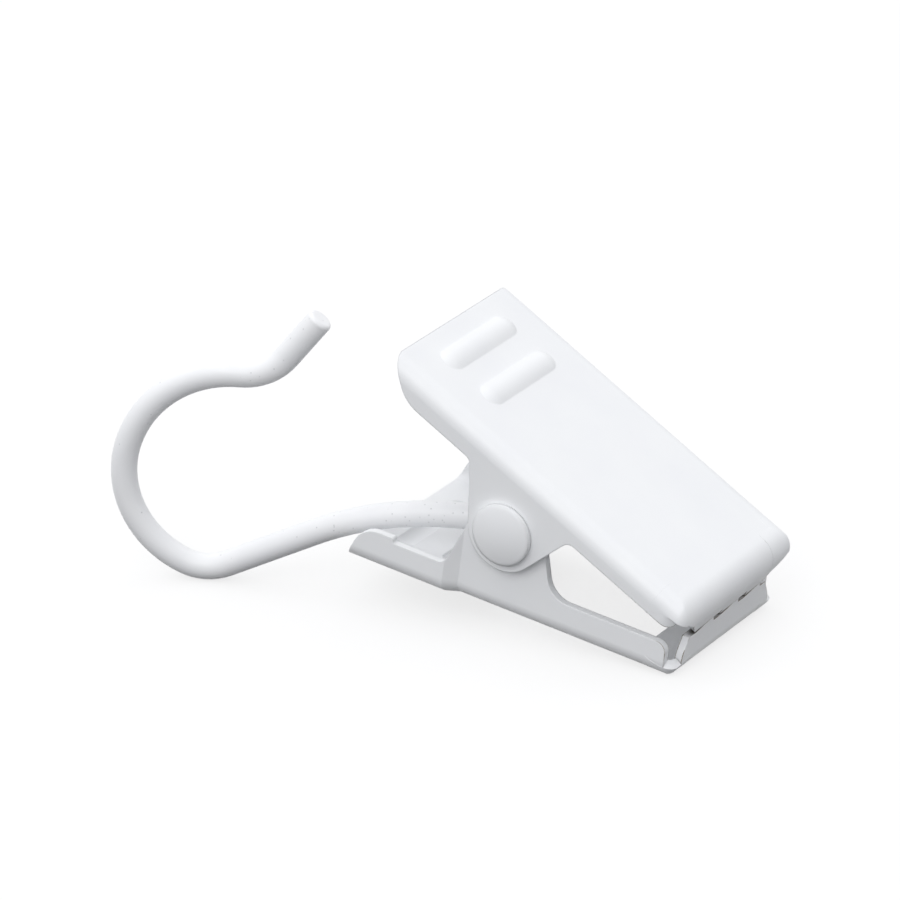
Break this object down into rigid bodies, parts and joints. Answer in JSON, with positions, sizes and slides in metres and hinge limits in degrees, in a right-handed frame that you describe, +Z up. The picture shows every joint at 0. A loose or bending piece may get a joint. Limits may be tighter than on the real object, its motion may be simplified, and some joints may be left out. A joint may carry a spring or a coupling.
{
  "type": "curtain hook",
  "caption": "Sprung curtain clip of folded white-coated sheet steel with toothed lips, carried on an open wire hook that swivels on the clip's rivet.",
  "frame": {"origin": "under the middle of the whole object, on the surface it stands on", "axes": "+X from the wire hook to the clip's mouth, +Y along the rivet, +Z up"},
  "size_m": [0.0474, 0.0224, 0.0224],
  "materials": {
    "jaw_coat": "white semi-gloss powder coat",
    "rivet_coat": "white semi-gloss powder coat",
    "wire_coat": "white semi-gloss powder coat",
    "spring_steel": "bright spring wire"
  },
  "bodies": {
    "lower": {"lower_jaw": "jaw_coat", "pivot_rivet": "rivet_coat", "torsion_spring": "spring_steel"},
    "upper": {"upper_jaw": "jaw_coat"},
    "hook": {"wire_hook": "wire_coat"}
  },
  "joints": [
    {"name": "jaw_hinge", "type": "hinge", "parent": "lower", "child": "upper", "pos_m": [0.00835, 0.00201, 0.00886], "axis": [0, -1, 0], "range_deg": [0, 30], "stiffness_Nm_per_rad": 0.05, "springref_deg": -34.38, "deforming": ["torsion_spring"]},
    {"name": "hook_swivel", "type": "hinge", "parent": "lower", "child": "hook", "pos_m": [0.00835, 0.00201, 0.00886], "axis": [0, 1, 0], "range_deg": [0, 25]}
  ]
}
